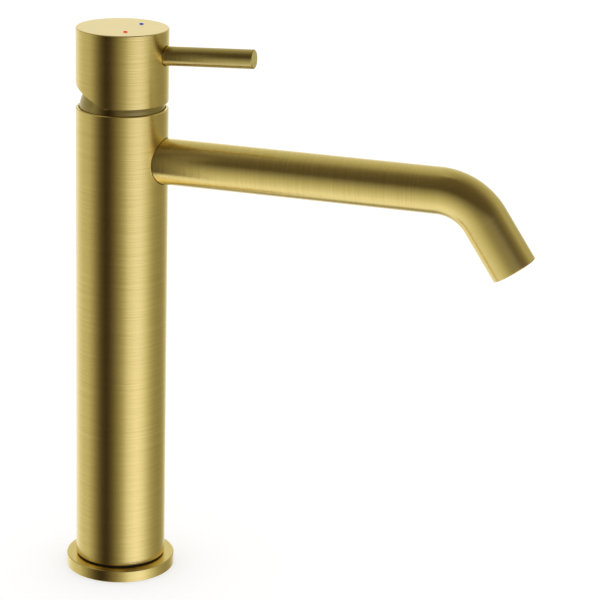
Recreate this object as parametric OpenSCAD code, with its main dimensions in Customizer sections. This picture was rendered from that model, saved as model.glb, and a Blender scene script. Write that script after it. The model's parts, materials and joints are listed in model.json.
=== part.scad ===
// Tall single-lever basin mixer. A round column stands on a base ring and carries a straight
// spout with a turned-down end. A cap with a pin lever turns on top of it for temperature
// and tilts for flow, and drives a compact 35 mm ceramic disc cartridge inside the column.
// +Z is up, the spout points along +X, and the origin is the centre of the base on the deck.

/* [Column] */
// Outer diameter of the column and of the handle cap
column_d = 48; // [47.8:0.1:49]
// Height of the column's top edge above the deck
column_top = 255.3; // [230:0.1:320]
// Outer diameter of the base ring
base_d = 58.2; // [57:0.1:64]
// Thickness of the base ring
base_h = 6.4; // [6:0.1:7]

/* [Spout] */
// Outer diameter of the spout tube
spout_d = 24; // [23.8:0.1:24.2]
// Wall of the spout tube
spout_wall = 1.5; // [1.5:0.1:1.6]
// Distance from the column's axis to the start of the bend
spout_straight = 170; // [90:1:190]
// Radius of the bend on the tube's axis
spout_bend_r = 29.5; // [26:0.5:45]
// Angle that the bend turns the tube down
spout_bend = 56; // [40:1:80]
// Length of the straight end after the bend
spout_end = 29; // [24:0.5:40]

/* [Handle] */
// Height of the handle cap
cap_h = 38.2; // [38:0.1:42]
// Gap between the column's top edge and the cap
cap_gap = 3.5; // [3.4:0.1:4]
// Slope of the cut under the back of the cap
cap_cut = 24; // [20:1:25]
// Diameter of the lever
lever_d = 10; // [9:0.5:11]
// Distance from the column's axis to the lever's tip
lever_reach = 71.5; // [60:0.5:90]
// Upward slope of the lever
lever_rise = 3; // [0:1:4]

/* [Deck fixing] */
// Diameter of the tapped hole for the fixing stud
stud_d = 8; // [6:1:8]
// Distance from the column's axis to the fixing stud
stud_x = 13; // [12:0.5:14]
// Diameter of the tapped water inlets
inlet_d = 10; // [9.5:0.5:10]
// Distance of each inlet to the side of the column's axis
inlet_y = 9; // [8.5:0.5:9.5]
// Distance of the inlets behind the column's axis
inlet_back = 6; // [5:0.5:7]

/* [Hidden] */

$fn = 96;
chamfer = 0.4;
// Clearance between pieces that turn or slide on each other, and between fixed ones
run_gap = 0.05;
fit_gap = 0.02;
// Overshoot that keeps a cut from ending on a face
over = 1;
far = 80;

// Base, from the deck up
base_r = base_d / 2;
ledge_top = 3;
ledge_r = 20;
plug_r = 23;
column_bottom = base_h + 0.8;
gasket_r = [23.5, 26.5];
gasket_h = 1.5;
insert_top = 22;
hose_r = 7.5;

// Column
column_r = column_d / 2;
column_bore = 22;
rim_bore = 22.6;
rim_depth = 4.7;

// Levels inside the column, all hung from its top edge
pivot_z = column_top - 2.3;
dome_r = 22.3;
dome_wall = 2;
dome_hole_r = 14;
dome_foot = pivot_z - 2;
body_bottom = column_top - 55.3;
collar_bottom = column_top - 12.1;
collar_top = pivot_z - 2.1;
floor_z = column_top - 20.8;
spout_z = column_top - 26.7;

// Valve body
body_r = 21.6;
collar_r = 20.4;
chamber_r = 17.6;
nut_r = 19;
port_r = 3.5;
outlet_x = 7;
inlet_depth = 12;
o_ring_d = 1.7;
o_ring_z = [body_bottom + 5, body_bottom + 11];

// Cartridge, stacked from the chamber's floor
cartridge_r = 17.5;
seal_h = 0.8;
base_top = floor_z + 3.5;
disc_h = 3;
fixed_top = base_top + disc_h;
moving_top = fixed_top + disc_h;
disc_room_r = 15.5;
disc_room_top = moving_top + 1.2;
shoulder_z = floor_z + 13;
housing_r = 15;
housing_top = pivot_z + 3;
turret_room_r = 13.1;
turret_bore = 11.5;
retainer_z = pivot_z - 3;
glide_h = 0.6;
flange_top = retainer_z - glide_h;
turret_top = pivot_z + 4.5;
moving_r = 11;
carrier_plate = 1;
block = [14, 13];
block_top = flange_top - 0.9;
pin_r = 2;
pin_l = 21;
slot_x = 14.4;
nut_top = pivot_z + 0.5;
nut_af = 34;

// Stem: a square bar with a round foot that pushes the disc carrier
stem_w = 8;
foot_r = 2.2;
foot_z = pivot_z - 5.8;
foot_neck = 2.8;
foot_gap = 0.06;
lift_travel = 2.6;
slot_w = stem_w + 2 * run_gap;

// Cap
cap_bottom = column_top + cap_gap;
cap_top = cap_bottom + cap_h;
cap_bore = 21.95;
cap_ceiling = pivot_z + 23.2;
cut_start = -0.5;
socket_top = cap_top - 11;
stem_top = socket_top - 0.5;
lever_z = cap_top - 14.2;
lever_hole_gap = 0.35;
lever_seat = 21.5;
stub_r = 3;
stub_end = 13.5;
grub_r = 2.5;
grub_span = [4.4, 10.4];
dot_r = 1.2;
dot_h = 0.5;
dot_x = 6;
dot_y = 11.3;

// Spout
spout_r = spout_d / 2;
spout_bore = spout_r - spout_wall;
spout_root = 18.6;
nipple_thread_r = 5;
nipple_in = 10;
nipple_out = 34;
nipple_r = spout_bore - 0.2;
nipple_bore = 7;
nipple_rings = [25, 30];
spout_ring_d = 1.5;
bend_step = 0.05;
bend_lap = 1;
end_x = spout_straight + spout_bend_r * sin(spout_bend) + spout_end * cos(spout_bend);
end_z = spout_z - spout_bend_r * (1 - cos(spout_bend)) - spout_end * sin(spout_bend);

// Aerator, measured back from the spout's end
aerator_face = 1;
aerator_l = 11;
aerator_r = spout_bore - fit_gap;
aerator_wall = 1.3;
core_r = aerator_r - aerator_wall;
core_l = 9;
aerator_gasket_h = 1.5;
screen_h = 0.4;

// A solid of revolution about Z between two heights
module disc(r, z0, z1) {
    translate([0, 0, z0]) cylinder(r = r, h = z1 - z0);
}

module tube(r_out, r_in, z0, z1) {
    difference() {
        disc(r_out, z0, z1);
        disc(r_in, z0 - over, z1 + over);
    }
}

// A round bar along +X between two distances
module bar_x(r, x0, x1) {
    translate([x0, 0, 0]) rotate([0, 90, 0]) cylinder(r = r, h = x1 - x0);
}

module o_ring(r_out, d, z) {
    translate([0, 0, z]) rotate_extrude() translate([r_out - d / 2, 0]) circle(d = d, $fn = 32);
}

// Rings of evenly spaced places around the axis: one in the middle, then 6 more in each ring
module honeycomb(rings, pitch) {
    children();
    for (ring = [1 : rings], i = [0 : 6 * ring - 1])
        rotate(60 * i / ring) translate([pitch * ring, 0, 0]) children();
}

// Places that sub-parts share
module at_spout() { translate([0, 0, spout_z]) children(); }

module at_lever() { translate([0, 0, lever_z]) rotate([0, -lever_rise, 0]) children(); }

module at_outlet() { translate([end_x, 0, end_z]) rotate([0, 90 + spout_bend, 0]) children(); }

module at_inlets() {
    for (side = [-1, 1]) translate([-inlet_back, side * inlet_y, 0]) children();
}

module base_ring() {
    color("darkkhaki") rotate_extrude() difference() {
        polygon([[ledge_r, 0], [base_r, 0], [base_r, base_h - chamfer],
            [base_r - chamfer, base_h], [plug_r + 0.1, base_h], [plug_r + 0.1, ledge_top],
            [ledge_r, ledge_top]]);
        translate([gasket_r[0], -over]) square([gasket_r[1] - gasket_r[0], gasket_h + over]);
    }
}

module deck_gasket() {
    color("dimgray") tube(gasket_r[1] - run_gap, gasket_r[0] + run_gap, 0, gasket_h);
}

// Plug in the foot of the column: the stud pulls on it and the hoses pass through it
module base_insert() {
    color("goldenrod") difference() {
        union() {
            disc(plug_r, ledge_top, column_bottom);
            disc(column_bore - 2 * run_gap, column_bottom, insert_top);
        }
        at_inlets() disc(hose_r, 0, insert_top + over);
        translate([stud_x, 0, 0]) disc(stud_d / 2, 0, insert_top + over);
    }
}

module column_tube() {
    color("darkkhaki") difference() {
        rotate_extrude() polygon([[column_bore, column_bottom],
            [column_r - chamfer, column_bottom], [column_r, column_bottom + chamfer],
            [column_r, column_top - chamfer], [column_r - chamfer, column_top],
            [rim_bore, column_top], [rim_bore, column_top - rim_depth],
            [column_bore, column_top - rim_depth]]);
        at_spout() bar_x(spout_r + 0.3, 0, far);
    }
}

// Brass core: cartridge chamber above, two inlets below and the outlet to the spout
module valve_body() {
    color("goldenrod") difference() {
        union() {
            disc(body_r, body_bottom, collar_bottom);
            disc(collar_r, collar_bottom, collar_top);
        }
        disc(chamber_r, floor_z, collar_top + over);
        disc(nut_r, shoulder_z - over, collar_top + over);
        for (z = o_ring_z) tube(far, body_r - o_ring_d + 0.38, z - 1.1, z + 1.1);
        at_spout() bar_x(spout_r + 0.1, spout_root, far);
        at_spout() bar_x(nipple_thread_r, nipple_in, far);
        at_spout() bar_x(port_r, outlet_x - port_r, nipple_in + over);
        translate([outlet_x, 0, 0]) disc(port_r - 0.1, spout_z, floor_z + over);
        at_inlets() disc(port_r, body_bottom + inlet_depth - over, floor_z + over);
        at_inlets() disc(inlet_d / 2, body_bottom - over, body_bottom + inlet_depth);
    }
}

module body_o_rings() {
    color("dimgray") for (z = o_ring_z) o_ring(column_bore - fit_gap, o_ring_d, z);
}

// The three ports that the seal, the base and the fixed disc share
module ports(r, z0, z1) {
    at_inlets() disc(r, z0, z1);
    translate([outlet_x, 0, 0]) disc(r, z0, z1);
}

module cartridge_seal() {
    color("dimgray") difference() {
        disc(cartridge_r - 1.5, floor_z, floor_z + seal_h);
        ports(port_r, floor_z - over, floor_z + seal_h + over);
    }
}

module cartridge_base() {
    color("whitesmoke") difference() {
        disc(cartridge_r, floor_z, base_top);
        disc(cartridge_r - 1.5 + fit_gap, floor_z - over, floor_z + seal_h);
        ports(port_r, floor_z - over, base_top + over);
    }
}

module fixed_disc() {
    color("lavender") difference() {
        disc(disc_room_r - run_gap, base_top, fixed_top);
        ports(port_r - 0.3, base_top - over, fixed_top + over);
    }
}

// The mixing pocket on its underside joins the ports as the disc slides and turns
module moving_disc() {
    color("lavender") difference() {
        disc(moving_r, fixed_top, moving_top);
        disc(moving_r - 4, fixed_top - over, fixed_top + disc_h / 2);
    }
}

module disc_carrier() {
    color("whitesmoke") difference() {
        union() {
            disc(moving_r, moving_top, moving_top + carrier_plate);
            translate([-block[0] / 2, -block[1] / 2, moving_top])
                cube([block[0], block[1], block_top - moving_top]);
        }
        translate([-foot_r - foot_gap, -slot_w / 2, foot_z - foot_r - foot_gap])
            cube([2 * (foot_r + foot_gap), slot_w, far]);
    }
}

module cartridge_housing() {
    color("gainsboro") rotate_extrude() polygon([[disc_room_r, base_top],
        [cartridge_r, base_top], [cartridge_r, shoulder_z], [housing_r, shoulder_z],
        [housing_r, housing_top], [turret_bore, housing_top], [turret_bore, retainer_z],
        [turret_room_r, retainer_z], [turret_room_r, disc_room_top],
        [disc_room_r, disc_room_top]]);
}

module friction_ring() {
    color("ivory") tube(turret_room_r - run_gap, turret_bore + run_gap, flange_top + fit_gap,
        retainer_z);
}

// Turning part of the cartridge: it holds the pivot pin and guides the disc carrier
module turret() {
    room = block[0] + lift_travel + 0.8;
    color("whitesmoke") difference() {
        union() {
            disc(turret_room_r - run_gap, disc_room_top + 0.2, flange_top);
            disc(turret_bore - run_gap, flange_top, turret_top);
        }
        translate([-block[0] / 2 - 0.3, -block[1] / 2 - run_gap, 0])
            cube([room, block[1] + 2 * run_gap, block_top + 0.1]);
        translate([-slot_x / 2, -slot_w / 2, 0]) cube([slot_x, slot_w, turret_top + over]);
        translate([0, 0, pivot_z]) rotate([90, 0, 0])
            cylinder(r = pin_r, h = far, center = true);
    }
}

module pivot_pin() {
    color("silver") translate([0, 0, pivot_z]) rotate([90, 0, 0])
        cylinder(r = pin_r - fit_gap / 2, h = pin_l, center = true);
}

module handle_stem() {
    color("silver") difference() {
        union() {
            translate([-stem_w / 2, -stem_w / 2, retainer_z])
                cube([stem_w, stem_w, stem_top - retainer_z]);
            translate([-foot_neck / 2, -stem_w / 2, foot_z])
                cube([foot_neck, stem_w, retainer_z + over - foot_z]);
            translate([0, 0, foot_z]) rotate([90, 0, 0])
                cylinder(r = foot_r, h = stem_w, center = true);
        }
        translate([0, 0, pivot_z]) rotate([90, 0, 0])
            cylinder(r = pin_r + 0.03, h = far, center = true);
    }
}

// Threaded below to press on the housing's shoulder, with a hexagon above for the spanner
module cartridge_nut() {
    color("goldenrod") difference() {
        union() {
            disc(nut_r - fit_gap, shoulder_z, collar_top);
            translate([0, 0, collar_top])
                cylinder(d = nut_af / cos(30), h = nut_top - collar_top, $fn = 6);
        }
        disc(housing_r + fit_gap, shoulder_z - over, nut_top + over);
    }
}

// Round cover under the cap, centred on the pivot so that the cap tilts around it
module neck_dome() {
    color("darkkhaki") difference() {
        union() {
            intersection() {
                translate([0, 0, pivot_z]) sphere(r = dome_r);
                disc(far, dome_foot, pivot_z + dome_r);
            }
            disc(column_bore - 0.1, collar_bottom + 0.2, dome_foot + over);
        }
        intersection() {
            translate([0, 0, pivot_z]) sphere(r = dome_r - dome_wall);
            disc(far, collar_top, far * 5);
        }
        disc(collar_r + fit_gap, collar_bottom - over, collar_top);
        disc(dome_hole_r, pivot_z + 5, pivot_z + dome_r + over);
    }
}

module handle_cap() {
    color("darkkhaki") difference() {
        rotate_extrude() polygon([[0, cap_ceiling], [cap_bore, cap_ceiling],
            [cap_bore, cap_bottom], [column_r - chamfer / 2, cap_bottom],
            [column_r, cap_bottom + chamfer / 2], [column_r, cap_top - chamfer],
            [column_r - chamfer, cap_top], [0, cap_top]]);
        translate([cut_start, 0, cap_bottom]) rotate([0, cap_cut, 0])
            translate([-far, -far / 2, -far]) cube([far, far, far]);
        translate([-stem_w / 2 - fit_gap, -stem_w / 2 - fit_gap, cap_ceiling - over])
            cube([stem_w + 2 * fit_gap, stem_w + 2 * fit_gap, socket_top - cap_ceiling + over]);
        at_lever() bar_x(lever_d / 2 + lever_hole_gap, lever_seat, far);
        at_lever() bar_x(stub_r + fit_gap, grub_span[1], lever_seat + over);
        at_lever() bar_x(grub_r + fit_gap, 0, grub_span[1] + over);
        for (side = [-1, 1]) translate([dot_x, side * dot_y, 0])
            disc(dot_r + fit_gap, cap_top - dot_h, cap_top + over);
    }
}

module cap_grub_screw() {
    color("dimgray") at_lever() difference() {
        bar_x(grub_r, grub_span[0], grub_span[1]);
        translate([grub_span[1] - 2.5, 0, 0]) rotate([0, 90, 0])
            cylinder(d = 2.5 / cos(30), h = far, $fn = 6);
    }
}

module lever_pin() {
    color("darkkhaki") at_lever() rotate([0, 90, 0]) rotate_extrude()
        polygon([[0, stub_end], [stub_r, stub_end], [stub_r, lever_seat],
            [lever_d / 2, lever_seat], [lever_d / 2, lever_reach - chamfer],
            [lever_d / 2 - chamfer, lever_reach], [0, lever_reach]]);
}

module dot(side) {
    translate([dot_x, side * dot_y, 0]) disc(dot_r, cap_top - dot_h, cap_top - 0.05);
}

module hot_dot() { color("red") dot(-1); }

module cold_dot() { color("mediumblue") dot(1); }

// Threaded into the valve body; the spout screws onto its shoulder
module spout_nipple() {
    color("goldenrod") at_spout() difference() {
        union() {
            bar_x(nipple_thread_r - fit_gap, nipple_in, spout_root);
            bar_x(spout_bore - fit_gap, spout_root, spout_root + 4);
            bar_x(nipple_r, spout_root + 4, nipple_out);
        }
        bar_x(port_r, 0, far);
        bar_x(nipple_bore, spout_root + 3, far);
        for (x = nipple_rings) rotate([0, 90, 0])
            tube(far, spout_bore - spout_ring_d - fit_gap, x - 1, x + 1);
    }
}

module spout_o_rings() {
    color("dimgray") at_spout() rotate([0, 90, 0])
        for (x = nipple_rings) o_ring(spout_bore - fit_gap, spout_ring_d, x);
}

// The path of the spout as a solid of one radius. The bend is a hair thicker than the
// straight lengths, which run a little way into it, so its ends are clean edges.
module spout_path(r, x0, extra) {
    at_spout() {
        bar_x(r, x0, spout_straight + bend_lap);
        translate([spout_straight, 0, -spout_bend_r]) rotate([-90, -90, 0])
            rotate_extrude(angle = spout_bend)
                translate([spout_bend_r, 0]) circle(r = r + bend_step);
    }
    at_outlet() disc(r, -spout_end - bend_lap, extra);
}

module spout_tube() {
    color("darkkhaki") difference() {
        spout_path(spout_r, spout_root, 0);
        spout_path(spout_bore, spout_root - over, over);
    }
}

module aerator_gasket() {
    top = -aerator_face - aerator_l;
    color("dimgray") at_outlet() tube(aerator_r - 0.1, core_r - 1.5, top - aerator_gasket_h, top);
}

// Two fine screens, one above the other
module aerator_screens() {
    first = -aerator_face - core_l - 0.6;
    color("silver") at_outlet() for (i = [0, 1]) difference() {
        disc(core_r - run_gap, first - i * 2 * screen_h - screen_h, first - i * 2 * screen_h);
        honeycomb(3, 2.4) disc(0.8, first - 3, first + over);
    }
}

// Plastic core with the channels that straighten the stream
module aerator_core() {
    color("dimgray") at_outlet() difference() {
        disc(core_r - fit_gap, -aerator_face - core_l - 0.6, -aerator_face - 0.6);
        honeycomb(3, 2.5) disc(1, -aerator_face - core_l - over, over);
    }
}

module aerator_housing() {
    color("darkkhaki") at_outlet()
        tube(aerator_r, core_r, -aerator_face - aerator_l, -aerator_face);
}

base_ring();
deck_gasket();
base_insert();
column_tube();
valve_body();
body_o_rings();
cartridge_seal();
cartridge_base();
fixed_disc();
moving_disc();
disc_carrier();
cartridge_housing();
friction_ring();
turret();
pivot_pin();
handle_stem();
cartridge_nut();
neck_dome();
handle_cap();
cap_grub_screw();
lever_pin();
hot_dot();
cold_dot();
spout_nipple();
spout_o_rings();
spout_tube();
aerator_gasket();
aerator_screens();
aerator_core();
aerator_housing();
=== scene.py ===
# Tall basin mixer in brushed gold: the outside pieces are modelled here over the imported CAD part.
import json
import math

import bpy
from mathutils import Matrix, Vector


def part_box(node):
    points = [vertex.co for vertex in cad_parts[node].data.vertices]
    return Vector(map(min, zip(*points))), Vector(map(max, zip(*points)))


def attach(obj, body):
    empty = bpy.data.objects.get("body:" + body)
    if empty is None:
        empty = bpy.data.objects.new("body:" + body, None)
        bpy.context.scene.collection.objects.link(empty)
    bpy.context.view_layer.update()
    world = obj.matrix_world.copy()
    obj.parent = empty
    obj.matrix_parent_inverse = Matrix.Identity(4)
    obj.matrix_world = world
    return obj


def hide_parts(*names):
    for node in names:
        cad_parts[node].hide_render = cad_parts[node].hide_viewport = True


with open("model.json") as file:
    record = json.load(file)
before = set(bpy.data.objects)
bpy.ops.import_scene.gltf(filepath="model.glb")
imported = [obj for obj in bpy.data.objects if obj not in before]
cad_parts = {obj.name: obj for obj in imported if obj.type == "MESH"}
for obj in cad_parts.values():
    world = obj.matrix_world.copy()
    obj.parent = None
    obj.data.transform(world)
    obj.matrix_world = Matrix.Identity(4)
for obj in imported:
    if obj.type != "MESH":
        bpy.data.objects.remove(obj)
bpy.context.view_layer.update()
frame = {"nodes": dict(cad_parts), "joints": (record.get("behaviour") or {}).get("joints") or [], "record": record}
nodes = frame["nodes"]
mm = 0.001
print("loaded", len(nodes), "nodes")


# A shader socket that can be reckoned with: a + b, 1 - a or a * 3 adds one Math node
class Value:
    def __init__(self, shader, socket):
        self.shader, self.socket = shader, socket

    def math(self, operation, first, second=None):
        parts = [first] if second is None else [first, second]
        return self.shader.value("ShaderNodeMath", {"operation": operation}, dict(enumerate(parts)))

    def __add__(self, other):
        return self.math("ADD", self, other)

    def __radd__(self, other):
        return self.math("ADD", other, self)

    def __sub__(self, other):
        return self.math("SUBTRACT", self, other)

    def __rsub__(self, other):
        return self.math("SUBTRACT", other, self)

    def __mul__(self, other):
        return self.math("MULTIPLY", self, other)

    def __rmul__(self, other):
        return self.math("MULTIPLY", other, self)

    def __truediv__(self, other):
        return self.math("DIVIDE", self, other)

    def __rtruediv__(self, other):
        return self.math("DIVIDE", other, self)

    def clamp(self):
        return self.math("MINIMUM", self.math("MAXIMUM", self, 0.0), 1.0)


# The nodes of one material or world
class Shader:
    def __init__(self, owner):
        owner.use_nodes = True
        self.owner, self.tree = owner, owner.node_tree
        self.tree.nodes.clear()

    def add(self, kind, settings=None, inputs=None, output=0):
        node = self.tree.nodes.new(kind)
        for key, setting in (settings or {}).items():
            if key == "stops":  # a ramp's stops, as (place, colour)
                ramp = node.color_ramp
                while len(ramp.elements) > 1:
                    ramp.elements.remove(ramp.elements[-1])
                for i, (place, colour) in enumerate(setting):
                    stop = ramp.elements[0] if i == 0 else ramp.elements.new(place)
                    stop.position = place
                    stop.color = (*colour, 1)
            else:
                setattr(node, key, setting)
        for key, given in (inputs or {}).items():
            given = given.socket if isinstance(given, Value) else given
            if isinstance(given, bpy.types.NodeSocket):
                self.tree.links.new(given, node.inputs[key])
            else:
                node.inputs[key].default_value = given
        return node.outputs[output] if node.outputs else node

    def value(self, *given, **more):
        return Value(self, self.add(*given, **more))

    # A point's three numbers: on the piece, or the direction looked in for a world
    def place(self, coordinates="Object"):
        coords = self.add("ShaderNodeTexCoord", output=coordinates)
        parts = self.add("ShaderNodeSeparateXYZ", inputs={0: coords}).node
        return [Value(self, parts.outputs[i]) for i in range(3)]

    # How far round the mixer from the camera's side, left negative, in radians
    def turnFromCamera(self, x, y):
        side = math.radians(studio["cameraSide"])
        across = x * math.cos(side) + y * math.sin(side)
        towards = x * math.sin(side) - y * math.cos(side)
        return across.math("ARCTAN2", across, towards)

    # A colour between two, which are sockets or (red, green, blue)
    def mix(self, share, first, second):
        first, second = (c if isinstance(c, bpy.types.NodeSocket) else (*c, 1) for c in (first, second))
        return self.add("ShaderNodeMix", {"data_type": "RGBA"}, {0: share, 6: first, 7: second}, output=2)

    def finish(self, surface):
        self.add("ShaderNodeOutputMaterial", inputs={0: surface})
        return self.owner


def newShader(name):
    return Shader(bpy.data.materials.new(name))


goldFinish = {
    "colour": (1.0, 0.81, 0.365),
    "deep": (0.86, 0.68, 0.285),
    "roughness": 0.22,
    "fineLines": (2600, 40),  # per metre along the piece and across it
    "broadLines": (750, 26),
    "fineShare": 0.62,
    "lineDepth": 0.09 * mm,
    "toneSpread": 2.2,
    "toneMiddle": 0.6,
    "roughnessSpread": 0.18,
    "calmFrom": 0.155,  # where the spout's lines start to fade, in metres along it
    "calmOver": 0.025,
    "calm": 0.8,
}


# Fine lines run round a piece and follow each other along its length, which is x, z or an attribute
def brushedGold(name, along, lines=1.0, shade=1.0):
    look = goldFinish
    shader = newShader(name)
    x, y, z = shader.place()
    if along == "z":
        step, side, other = z, x, y
    elif along == "x":
        step, side, other = x, y, z
    else:
        step = shader.value("ShaderNodeAttribute", {"attribute_name": along}, output="Fac")
        side, other = y, z
    noises = []
    for alongScale, acrossScale in (look["fineLines"], look["broadLines"]):
        spot = shader.add("ShaderNodeCombineXYZ", inputs={
            0: step * alongScale, 1: side * acrossScale, 2: other * acrossScale})
        noises.append(shader.value("ShaderNodeTexNoise", inputs={
            "Vector": spot, "Scale": 1.0, "Detail": 2.0}))
    grain = noises[0] * look["fineShare"] + noises[1] * (1 - look["fineShare"])
    if along == "alongTube":  # the bend and the turned-down end are polished smoother
        fade = ((step - look["calmFrom"]) * (1 / look["calmOver"])).clamp()
        grain = (grain - 0.5) * (1 - fade * look["calm"]) + 0.5
    tone = ((grain - 0.5) * (look["toneSpread"] * lines) + look["toneMiddle"]).clamp()
    # shade below 1 darkens both gold colours: painted shade for pieces that should look shaded
    deep, bright = ([c * shade for c in look[key]] for key in ("deep", "colour"))
    bump = shader.add("ShaderNodeBump", inputs={
        "Strength": lines, "Distance": look["lineDepth"], "Height": grain})
    metal = shader.add("ShaderNodeBsdfPrincipled", inputs={
        "Base Color": shader.mix(tone, deep, bright), "Metallic": 1.0,
        "Roughness": look["roughness"] + (grain - 0.5) * (look["roughnessSpread"] * lines), "Normal": bump})
    return shader.finish(metal)


# Plain finishes, with a faint mottle so that none is dead flat
def plainFinish(name, colour, roughness, metallic=0.0, gloss=0.5, mottle=0.06):
    shader = newShader(name)
    coords = shader.add("ShaderNodeTexCoord", output="Object")
    noise = shader.value("ShaderNodeTexNoise", inputs={"Vector": coords, "Scale": 400.0, "Detail": 2.0})
    darker = [c * (1 - mottle) for c in colour]
    lighter = [min(1, c * (1 + mottle)) for c in colour]
    body = shader.add("ShaderNodeBsdfPrincipled", inputs={
        "Base Color": shader.mix(noise, darker, lighter), "Metallic": metallic,
        "Roughness": roughness + (noise - 0.5) * 0.1, "Specular IOR Level": gloss})
    return shader.finish(body)


finishes = {
    "brushed_gold": brushedGold("brushedGoldUpright", "z"),
    # Near-black for the part seen in the thin gap between the column and the base ring: painted shadow
    "blackened_brass": plainFinish("blackenedBrass", (0.012, 0.011, 0.01), 0.6),
    "plain_brass": plainFinish("machinedBrass", (0.70, 0.50, 0.22), 0.34, metallic=1.0),
    "seal_rubber": plainFinish("sealRubber", (0.028, 0.028, 0.03), 0.7),
    "cartridge_plastic": plainFinish("cartridgeAcetal", (0.80, 0.80, 0.77), 0.38),
    "ceramic": plainFinish("lappedCeramic", (0.88, 0.87, 0.84), 0.18),
    "steel": plainFinish("stemSteel", (0.56, 0.56, 0.57), 0.3, metallic=1.0),
    "dark_plastic": plainFinish("flowCoreAcetal", (0.05, 0.05, 0.055), 0.42),
    "red_enamel": plainFinish("hotEnamel", (0.85, 0.03, 0.015), 0.5, gloss=0.0, mottle=0.04),
    "blue_enamel": plainFinish("coldEnamel", (0.03, 0.09, 0.6), 0.5, gloss=0.0, mottle=0.04),
}
# The lever's gold at two thirds brightness: painted shade
leverGoldPaintedShade = brushedGold("brushedGoldLever", "x", 0.7, shade=0.66)
# The neck cover's gold at half brightness: painted shade for the dim gap under the cap
neckGoldPaintedShade = brushedGold("brushedGoldNeck", "z", 0.7, shade=0.5)
goldSpout = brushedGold("brushedGoldSpout", "alongTube")
for row in frame["record"]["subparts"]:
    data = nodes[row["node"]].data
    data.materials.clear()
    data.materials.append(finishes[row["material_slot"]])
print("finishes made")


def deselectAll():
    if bpy.context.object and bpy.context.object.mode != "OBJECT":
        bpy.ops.object.mode_set(mode="OBJECT")
    bpy.ops.object.select_all(action="DESELECT")


# Draws the selected edges out by a step
def drawOut(step):
    bpy.ops.mesh.extrude_edges_move(TRANSFORM_OT_translate={"value": tuple(step)})


# Merges the doubles, turns the faces outwards and leaves edit mode
def mergeUp():
    bpy.ops.mesh.select_all(action="SELECT")
    bpy.ops.mesh.remove_doubles(threshold=2e-6)
    bpy.ops.mesh.normals_make_consistent(inside=False)
    bpy.ops.object.mode_set(mode="OBJECT")


# Selects the vertices or edges whose place passes a test, and stays in edit mode
def pick(obj, kind, test):
    bpy.ops.object.mode_set(mode="EDIT")
    bpy.ops.mesh.select_mode(type=kind)
    bpy.ops.mesh.select_all(action="DESELECT")
    bpy.ops.object.mode_set(mode="OBJECT")
    points = obj.data.vertices
    for part in points if kind == "VERT" else obj.data.edges:
        part.select = test(part.co) if kind == "VERT" else all(test(points[i].co) for i in part.vertices)
    bpy.ops.object.mode_set(mode="EDIT")


# Turned about Z as on a lathe: a ring is drawn out from each (radius, height) to the next.
# A closed profile makes a hollow piece, an open one is filled at both ends
def turned(name, profile, sides=192, closed=False):
    deselectAll()
    radius, height = profile[0]
    bpy.ops.mesh.primitive_circle_add(vertices=sides, radius=radius, location=(0, 0, height))
    obj = bpy.context.object
    obj.name = obj.data.name = name
    bpy.ops.object.transform_apply(location=True, rotation=True, scale=True)
    bpy.ops.object.mode_set(mode="EDIT")
    bpy.ops.mesh.select_mode(type="VERT")
    bpy.ops.mesh.select_all(action="SELECT")
    if not closed:
        bpy.ops.mesh.edge_face_add()
        pick(obj, "EDGE", lambda v: True)
    for r, h in list(profile[1:]) + ([profile[0]] if closed else []):
        drawOut((0, 0, h - height))
        if r != radius:
            bpy.ops.transform.resize(value=(r / radius, r / radius, 1), center_override=(0, 0, h))
        radius, height = r, h
    if not closed:
        bpy.ops.mesh.edge_face_add()
    mergeUp()
    return obj


def selectOnly(obj):
    deselectAll()
    obj.select_set(True)
    bpy.context.view_layer.objects.active = obj


# Turns and moves a piece made about Z to its real place, and puts that place in its mesh
def putInPlace(obj, turn=(0, 0, 0), place=(0, 0, 0)):
    selectOnly(obj)
    obj.rotation_euler, obj.location = turn, place
    bpy.ops.object.transform_apply(location=True, rotation=True, scale=True)


def apply(obj, kind, **settings):
    selectOnly(obj)
    modifier = obj.modifiers.new(kind.lower(), kind)
    for key, setting in settings.items():
        setattr(modifier, key, setting)
    bpy.ops.object.modifier_apply(modifier=modifier.name)


# Cuts a shape out of a piece and throws the cutter away
def cutOut(obj, cutter):
    apply(obj, "BOOLEAN", operation="DIFFERENCE", solver="EXACT", object=cutter)
    bpy.data.objects.remove(cutter)


def softenEdges(obj, width, angle=30, segments=2):
    apply(obj, "BEVEL", width=width, segments=segments, limit_method="ANGLE",
          angle_limit=math.radians(angle), use_clamp_overlap=True)


def smooth(obj, angle=30):
    selectOnly(obj)
    bpy.ops.object.shade_smooth_by_angle(angle=math.radians(angle))
    apply(obj, "WEIGHTED_NORMAL", weight=100, keep_sharp=True)


# Gives a finished piece its material, the body it moves with and the nodes that it stands for
def handOver(obj, body, slot, material, *stoodFor):
    obj.data.materials.clear()
    obj.data.materials.append(material)
    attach(obj, body)
    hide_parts(*stoodFor)
    print("made", obj.name, len(obj.data.polygons), "faces")


# Places that several pieces share
columnLow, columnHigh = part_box("column_tube")
ringLow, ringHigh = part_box("base_ring")
capLow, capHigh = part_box("handle_cap")
spoutLow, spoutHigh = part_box("spout_tube")
columnRadius = columnHigh.x
pivotHeight = frame["joints"][1]["pos_m"][2]
spoutHeight = pivotHeight - 24.4 * mm
leverSlope = math.radians(3)
leverHeight = capHigh.z - 14.2 * mm  # where the lever's line crosses the column's
alongLever = (0, math.pi / 2 - leverSlope, 0)
drillEnd = 40 * mm  # drills end well outside the column

columnShape = {
    "bore": 22 * mm,
    "rim": 22.6 * mm,  # wider bore at the top, for the neck cover
    "rimDepth": 4.7 * mm,
    "chamfer": 0.4 * mm,
    "spoutHole": 12.3 * mm,
    "holeStart": 5 * mm,
    "bands": 8,
    "softening": 0.1 * mm,
}


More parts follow.
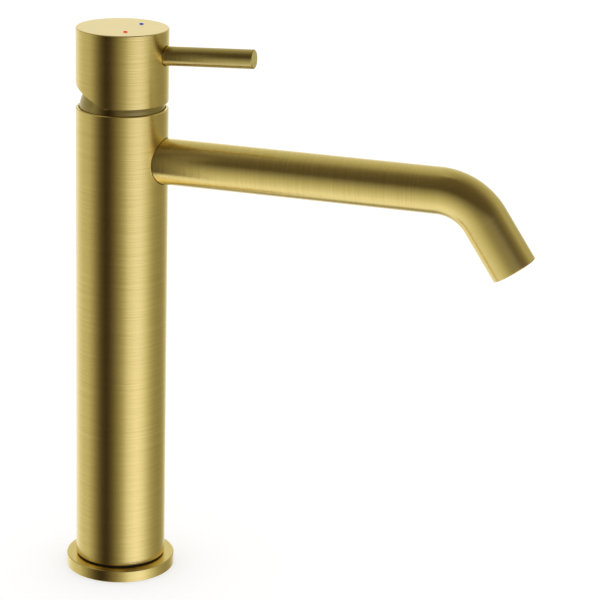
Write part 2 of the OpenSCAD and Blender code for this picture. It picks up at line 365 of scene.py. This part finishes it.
def makeColumn(shape):
    low, high, edge = columnLow.z, columnHigh.z, shape["chamfer"]
    bands = shape["bands"]
    steps = [low + edge + (high - low - 2 * edge) * i / bands for i in range(bands + 1)]
    profile = [(shape["bore"], low), (columnRadius - edge, low)]
    profile += [(columnRadius, h) for h in steps]
    rim, rimFoot = shape["rim"], high - shape["rimDepth"]
    profile += [(columnRadius - edge, high), (rim, high), (rim, rimFoot), (shape["bore"], rimFoot)]
    column = turned("columnTube", profile, closed=True)
    cutter = turned("spoutCutter", [(shape["spoutHole"], 0), (shape["spoutHole"], drillEnd)], sides=96)
    putInPlace(cutter, (0, math.pi / 2, 0), (shape["holeStart"], 0, spoutHeight))
    cutOut(column, cutter)
    softenEdges(column, shape["softening"])
    smooth(column)
    handOver(column, "root", "brushed_gold", finishes["brushed_gold"], "column_tube")


ringShape = {
    "ledge": 20 * mm,  # radius of the hole through the ring
    "ledgeTop": 3 * mm,
    "seat": 23.1 * mm,
    "groove": (23.5 * mm, 26.5 * mm),  # for the gasket
    "grooveDepth": 1.5 * mm,
    "chamfer": 0.4 * mm,
    "footChamfer": 0.2 * mm,
    "softening": 0.1 * mm,
}


def makeBaseRing(shape):
    outer, top, edge, foot = ringHigh.x, ringHigh.z, shape["chamfer"], shape["footChamfer"]
    ledge, ledgeTop, seat, depth = (shape[key] for key in ("ledge", "ledgeTop", "seat", "grooveDepth"))
    inner, far = shape["groove"]
    ring = turned("baseRing", [
        (ledge, 0), (inner, 0), (inner, depth), (far, depth), (far, 0), (outer - foot, 0), (outer, foot),
        (outer, top - edge), (outer - edge, top), (seat, top), (seat, ledgeTop), (ledge, ledgeTop),
    ], closed=True)
    softenEdges(ring, shape["softening"])
    smooth(ring)
    handOver(ring, "root", "brushed_gold", finishes["brushed_gold"], "base_ring")


domeShape = {
    "radius": 22.3 * mm,
    "wall": 2 * mm,
    "hole": 14 * mm,
    "skirt": 21.9 * mm,
    "skirtBore": 20.42 * mm,
    "foot": 2 * mm,  # how far under the pivot the round part ends, outside and inside
    "innerFoot": 2.1 * mm,
    "skirtTop": 2.12 * mm,
    "outerSteps": 24,
    "innerSteps": 20,
    "softening": 0.12 * mm,
}


# Round cover under the cap, with its open top and the straight skirt that goes into the column
def makeNeckDome(shape):
    low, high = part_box("neck_dome")
    outer, inner = shape["radius"], shape["radius"] - shape["wall"]
    footAngle = math.asin(-shape["foot"] / outer)
    topAngle = math.acos(shape["hole"] / outer)
    innerTop = math.acos(shape["hole"] / inner)
    innerFoot = math.asin(-shape["innerFoot"] / inner)
    profile = [(shape["skirt"], low.z), (shape["skirt"], pivotHeight - shape["foot"])]
    arcs = [
        (outer, footAngle, topAngle, shape["outerSteps"]),
        (inner, innerTop, innerFoot, shape["innerSteps"])]
    for radius, start, end, steps in arcs:
        angles = [start + (end - start) * i / steps for i in range(steps + 1)]
        profile += [(radius * math.cos(a), pivotHeight + radius * math.sin(a)) for a in angles]
    profile += [(shape["skirtBore"], pivotHeight - shape["skirtTop"]), (shape["skirtBore"], low.z)]
    dome = turned("neckDome", profile, closed=True)
    softenEdges(dome, shape["softening"])
    smooth(dome)
    handOver(dome, "root", "brushed_gold", neckGoldPaintedShade, "neck_dome")


capShape = {
    "bore": 21.95 * mm,
    "ceiling": 23.2 * mm,  # how far the bore goes above the pivot
    "topChamfer": 0.4 * mm,
    "lowChamfer": 0.2 * mm,
    "cutStart": -0.5 * mm,
    "cutSlope": math.radians(24),
    "socket": 8.04 * mm,  # square, for the stem
    "socketDepth": 9.8 * mm,
    "leverHole": 5.35 * mm,
    "stubHole": 3.02 * mm,
    "leverSeat": 21.5 * mm,
    "dotPlace": (6 * mm, 11.3 * mm),
    "dotHole": 1.22 * mm,
    "dotDepth": 0.5 * mm,
    "dotReach": 5 * mm,
    "softening": 0.12 * mm,
    "blockSize": 160 * mm,  # the slanted cut's cutter
    "overlap": 1 * mm,
}


# A box with its place and size in its mesh, to cut with
def cutterBox(size, place):
    deselectAll()
    bpy.ops.mesh.primitive_cube_add(size=1, location=place)
    box = bpy.context.object
    box.scale = size
    bpy.ops.object.transform_apply(location=True, rotation=True, scale=True)
    return box


def makeCap(shape):
    low, high = capLow.z, capHigh.z
    ceiling = pivotHeight + shape["ceiling"]
    top, bottom, bore = shape["topChamfer"], shape["lowChamfer"], shape["bore"]
    cap = turned("handleCap", [
        (bore, ceiling), (bore, low), (columnRadius - bottom, low), (columnRadius, low + bottom),
        (columnRadius, high - top), (columnRadius - top, high)])
    # the cut under the back is a big block whose upper face lies on the slope
    size = shape["blockSize"]
    block = cutterBox((size, size, size), (0, 0, -size / 2))
    putInPlace(block, (0, shape["cutSlope"], 0), (shape["cutStart"], 0, low))
    cutOut(cap, block)
    side, depth, overlap = shape["socket"], shape["socketDepth"], shape["overlap"]
    cutOut(cap, cutterBox((side, side, depth + 2 * overlap), (0, 0, ceiling + depth / 2 - overlap)))
    seat, wide, narrow = shape["leverSeat"], shape["leverHole"], shape["stubHole"]
    drill = turned("leverDrill", [(narrow, 0), (narrow, seat), (wide, seat), (wide, drillEnd)], sides=128)
    putInPlace(drill, alongLever, (0, 0, leverHeight))
    cutOut(cap, drill)
    forward, sideways = shape["dotPlace"]
    for leftOrRight in (-1, 1):
        drill = turned("dotDrill", [(shape["dotHole"], 0), (shape["dotHole"], shape["dotReach"])], sides=48)
        putInPlace(drill, place=(forward, leftOrRight * sideways, high - shape["dotDepth"]))
        cutOut(cap, drill)
    softenEdges(cap, shape["softening"])
    smooth(cap)
    handOver(cap, "handle", "brushed_gold", finishes["brushed_gold"], "handle_cap")


leverShape = {
    "radius": 5 * mm,
    "reach": 71.5 * mm,
    "stub": 3 * mm,
    "stubStart": 13.5 * mm,
    "chamfer": 0.4 * mm,
    "softening": 0.12 * mm,
}


def makeLever(shape):
    r, reach, edge, stub = (shape[key] for key in ("radius", "reach", "chamfer", "stub"))
    seat = capShape["leverSeat"]
    lever = turned("leverPin", [
        (stub, shape["stubStart"]), (stub, seat), (r - edge / 2, seat), (r, seat + edge / 2),
        (r, reach - edge), (r - edge, reach)], sides=128)
    softenEdges(lever, shape["softening"])
    putInPlace(lever, alongLever, (0, 0, leverHeight))
    smooth(lever)
    handOver(lever, "handle", "brushed_gold", leverGoldPaintedShade, "lever_pin")
    # the end face keeps the full gold; the rest of the lever carries the painted shade
    lever.data.materials.append(finishes["brushed_gold"])
    outward = Vector((math.cos(leverSlope), 0, math.sin(leverSlope)))
    for face in lever.data.polygons:
        if face.normal.dot(outward) > 0.98 and face.center.x > reach * 0.9:  # not the shoulder at the stub
            face.material_index = 1


dotShape = {"radius": 1.2 * mm, "rise": 0.55 * mm, "ringAngle": 12, "rings": 8}


# Each enamel mark is filled into its hole and stands up in a low dome
def makeDot(shape, node, name, slot):
    low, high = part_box(node)
    centre = (low + high) / 2
    r, rise, top = shape["radius"], shape["rise"], high.z - low.z
    angles = [math.radians(shape["ringAngle"] * i) for i in range(shape["rings"])]
    dot = turned(name, [(r, 0)] + [(math.cos(a) * r, top + math.sin(a) * rise) for a in angles], sides=48)
    putInPlace(dot, place=(centre.x, centre.y, low.z))
    smooth(dot)
    handOver(dot, "handle", slot, finishes[slot], node)


spoutShape = {
    "radius": 12 * mm,
    "wall": 1.5 * mm,
    "straight": 170 * mm,  # where the bend starts, from the column's middle
    "bendRadius": 29.5 * mm,
    "bend": math.radians(56),
    "end": 29 * mm,
    "lip": 0.45 * mm,
    "sides": 144,
    "straightSteps": 24,
    "bendSteps": 40,
    "endSteps": 6,
}


# A ring drawn out along X, spun round the bend and drawn out again, then given its wall
def makeSpout(shape):
    root, straight, bendRadius, bend = spoutLow.x, shape["straight"], shape["bendRadius"], shape["bend"]
    deselectAll()
    bpy.ops.mesh.primitive_circle_add(vertices=shape["sides"], radius=shape["radius"],
                                      rotation=(0, math.pi / 2, 0), location=(root, 0, spoutHeight))
    spout = bpy.context.object
    spout.name = spout.data.name = "spoutTube"
    bpy.ops.object.transform_apply(location=True, rotation=True, scale=True)
    bpy.ops.object.mode_set(mode="EDIT")
    bpy.ops.mesh.select_mode(type="EDGE")
    bpy.ops.mesh.select_all(action="SELECT")
    for i in range(shape["straightSteps"]):
        drawOut(((straight - root) / shape["straightSteps"], 0, 0))
    centre = Vector((straight, 0, spoutHeight - bendRadius))
    bpy.ops.mesh.spin(steps=shape["bendSteps"], angle=-bend, center=tuple(centre), axis=(0, 1, 0))
    outward = Vector((math.cos(bend), 0, -math.sin(bend)))
    bendEnd = centre + bendRadius * Vector((math.sin(bend), 0, math.cos(bend)))
    pick(spout, "EDGE", lambda v: abs((v - bendEnd).dot(outward)) < 0.01 * mm)
    for i in range(shape["endSteps"]):
        drawOut(outward * shape["end"] / shape["endSteps"])
    mergeUp()
    apply(spout, "SOLIDIFY", thickness=shape["wall"], offset=-1, use_even_offset=True)
    softenEdges(spout, shape["lip"], angle=60, segments=4)
    smooth(spout, 40)
    # how far along the tube each point lies, for the lines that run round it
    along = spout.data.attributes.new("alongTube", "FLOAT", "POINT")
    for point, mark in zip(spout.data.vertices, along.data):
        angle = math.atan2(point.co.x - straight, point.co.z - centre.z)
        if point.co.x < straight:
            mark.value = point.co.x
        elif angle < bend:
            mark.value = straight + angle * bendRadius
        else:
            mark.value = straight + bend * bendRadius + (point.co - bendEnd).dot(outward)
    handOver(spout, "root", "brushed_gold", goldSpout, "spout_tube")


makeColumn(columnShape)
makeBaseRing(ringShape)
makeNeckDome(domeShape)
makeCap(capShape)
makeLever(leverShape)
makeDot(dotShape, "hot_dot", "hotDot", "red_enamel")
makeDot(dotShape, "cold_dot", "coldDot", "blue_enamel")
makeSpout(spoutShape)

studio = {
    "floorColour": (0.6, 0.6, 0.598),
    "floorGlow": 0.46,
    "floorSize": 8.0,
    "floorDrop": 0.2 * mm,
    "roomLight": 1.0,
    "cameraSide": 21.43,  # turn of the camera round the mixer, in degrees
    # brightness of the studio by turn from the camera's side in degrees, left negative,
    # at four heights in degrees
    "heights": {"low": -60, "level": -20, "raised": 23, "high": 68},
    "low": [
        (-180, 0.22), (-165, 0.28), (-150, 0.55), (-130, 0.9), (-60, 0.86), (-40, 0.76), (0, 0.86),
        (40, 0.95), (80, 0.7), (110, 0.45), (150, 0.3), (180, 0.22)],
    "level": [
        (-180, 1.5), (-170, 1.1), (-142, 0.88), (-126, 0.66), (-104, 0.54), (-80, 0.52), (-56, 0.5),
        (-38, 0.48), (-22, 0.42), (-6, 0.42), (6, 0.54), (16, 0.72), (28, 0.9), (40, 1.0), (52, 0.93),
        (64, 0.7), (76, 0.47), (88, 0.33), (102, 0.26), (118, 0.26), (134, 0.34), (148, 0.54), (160, 0.84),
        (170, 1.1), (180, 1.5)],
    "raised": [
        (-180, 0.68), (-168, 0.62), (-150, 0.52), (-120, 0.4), (-90, 0.27), (-70, 0.14), (-55, 0.09),
        (-20, 0.07), (40, 0.08), (57, 0.13), (68, 0.18), (80, 0.25), (90, 0.33), (100, 0.42), (128, 0.46),
        (150, 0.52), (168, 0.62), (180, 0.68)],
    "high": [
        (-180, 0.45), (-130, 0.34), (-90, 0.25), (-50, 0.12), (0, 0.1), (50, 0.12), (90, 0.18), (130, 0.27),
        (180, 0.45)],
}


# Darker parts of the studio are warmer
def warm(v):
    dim = max(0, 1 - v)
    return (v, v * (1 - 0.3 * dim ** 4), v * (1 - 0.62 * dim ** 0.85))


def makeFloor(look):
    deselectAll()
    bpy.ops.mesh.primitive_plane_add(size=look["floorSize"], location=(0, 0, -look["floorDrop"]))
    floor = bpy.context.object
    floor.name = "floor"
    shader = newShader("paleFloor")
    paint = shader.add("ShaderNodeBsdfPrincipled", inputs={
        "Base Color": (*look["floorColour"], 1), "Roughness": 0.9, "Specular IOR Level": 0.0,
        "Emission Color": (1, 1, 1, 1), "Emission Strength": look["floorGlow"]})
    floor.data.materials.append(shader.finish(paint))
    floor.visible_glossy = False


# A plain soft light all round, and bands of light and dark that only reflections see
def makeStudio(look):
    world = bpy.data.worlds.new("softStudio")
    bpy.context.scene.world = world
    room = Shader(world)
    x, y, z = room.place("Generated")
    share = room.turnFromCamera(x, y) / (2 * math.pi) + 0.5
    rise = z.math("ARCSINE", z) * (180 / math.pi)
    bands = under = None
    for key, over in look["heights"].items():
        stops = [((a + 180) / 360, warm(v)) for a, v in look[key]]
        ramp = room.add("ShaderNodeValToRGB", {"stops": stops}, {0: share})
        if bands:
            step = ((rise - under) / (over - under)).clamp()
            bands = room.mix(step, bands, ramp)
        else:
            bands = ramp
        under = over
    reflected = room.add("ShaderNodeLightPath", output="Is Glossy Ray")
    soft = room.add("ShaderNodeBackground", inputs={0: (1, 1, 1, 1), 1: look["roomLight"]})
    banded = room.add("ShaderNodeBackground", inputs={0: bands, 1: 1.0})
    both = room.add("ShaderNodeMixShader", inputs={0: reflected, 1: soft, 2: banded})
    room.add("ShaderNodeOutputWorld", inputs={0: both})
    world.cycles.sampling_method = "NONE"
    print("studio made")


# A curved dark flag stands close to the column's left front, and only reflections see it
flag = {
    "radius": 60 * mm,
    "bottom": -60 * mm,
    "top": 330 * mm,
    "shades": [
        (-74, 0.48), (-64, 0.37), (-54, 0.21), (-45, 0.1), (-35, 0.035), (-26, 0.04), (-16, 0.12),
        (-6, 0.24), (13, 0.34)],
    "clearFrom": -6,  # its right end fades away
    "reach": 80 * mm,  # and it is only seen from close by
    "reachFade": 60,  # how fast it goes beyond that
    "steps": 60,
}


def makeFlag(look):
    first, last = look["shades"][0][0], look["shades"][-1][0]
    start = math.radians(studio["cameraSide"] + first) - math.pi / 2
    outward = Vector((math.cos(start), math.sin(start), 0))
    height = look["top"] - look["bottom"]
    middle = outward * (look["radius"] - height / 2) + Vector((0, 0, look["bottom"] + height / 2))
    # an upright sheet loses all but its outer edge, which is then spun round the column
    deselectAll()
    bpy.ops.mesh.primitive_plane_add(size=height, rotation=(math.pi / 2, 0, start), location=middle)
    panel = bpy.context.object
    panel.name = "darkFlag"
    bpy.ops.object.transform_apply(location=True, rotation=True, scale=True)
    pick(panel, "VERT", lambda v: v.dot(outward) < 0)
    bpy.ops.mesh.delete(type="VERT")
    bpy.ops.mesh.select_all(action="SELECT")
    bpy.ops.mesh.spin(steps=look["steps"], angle=math.radians(first - last), center=(0, 0, 0),
                      axis=(0, 0, 1))
    bpy.ops.object.mode_set(mode="OBJECT")
    shader = newShader("flagCloth")
    x, y, z = shader.place()
    turn = shader.turnFromCamera(x, y) * (180 / math.pi)
    stops = [((a - first) / (last - first), warm(v)) for a, v in look["shades"]]
    shades = shader.add("ShaderNodeValToRGB", {"stops": stops}, {0: (turn - first) / (last - first)})
    glow = shader.add("ShaderNodeEmission", inputs={0: shades, 1: 1.0})
    clear = shader.add("ShaderNodeBsdfTransparent")
    behind = shader.value("ShaderNodeNewGeometry", output="Backfacing")
    distance = shader.value("ShaderNodeLightPath", output="Ray Length")
    away = ((distance - look["reach"]) * look["reachFade"]).clamp()
    ending = ((turn - look["clearFrom"]) / (last - look["clearFrom"])).clamp()
    seen = (1 - behind) * (1 - away) * (1 - ending)
    cloth = shader.add("ShaderNodeMixShader", inputs={0: seen, 1: clear, 2: glow})
    panel.data.materials.append(shader.finish(cloth))
    for ray in ("camera", "diffuse", "transmission", "volume_scatter", "shadow"):
        setattr(panel, "visible_" + ray, False)
    print("flag made")


cameraShape = {
    "place": (446.9 * mm, -1138.4 * mm, 544.6 * mm),
    "turn": 16.997,
    "tilt": 72.196,
    "roll": 1.593,
    "lens": 145.06,
}


def makeCamera(shape):
    data = bpy.data.cameras.new("camera")
    data.lens, data.sensor_width = shape["lens"], 36
    data.clip_start, data.clip_end = 0.01, 50
    camera = bpy.data.objects.new("camera", data)
    bpy.context.scene.collection.objects.link(camera)
    camera.matrix_world = (
        Matrix.Translation(shape["place"])
        @ Matrix.Rotation(math.radians(shape["turn"]), 4, "Z")
        @ Matrix.Rotation(math.radians(shape["tilt"]), 4, "X")
        @ Matrix.Rotation(math.radians(shape["roll"]), 4, "Z"))
    bpy.context.scene.camera = camera
    print("camera made")


makeFloor(studio)
makeStudio(studio)
makeFlag(flag)
makeCamera(cameraShape)
bpy.context.scene.view_settings.view_transform = "Standard"
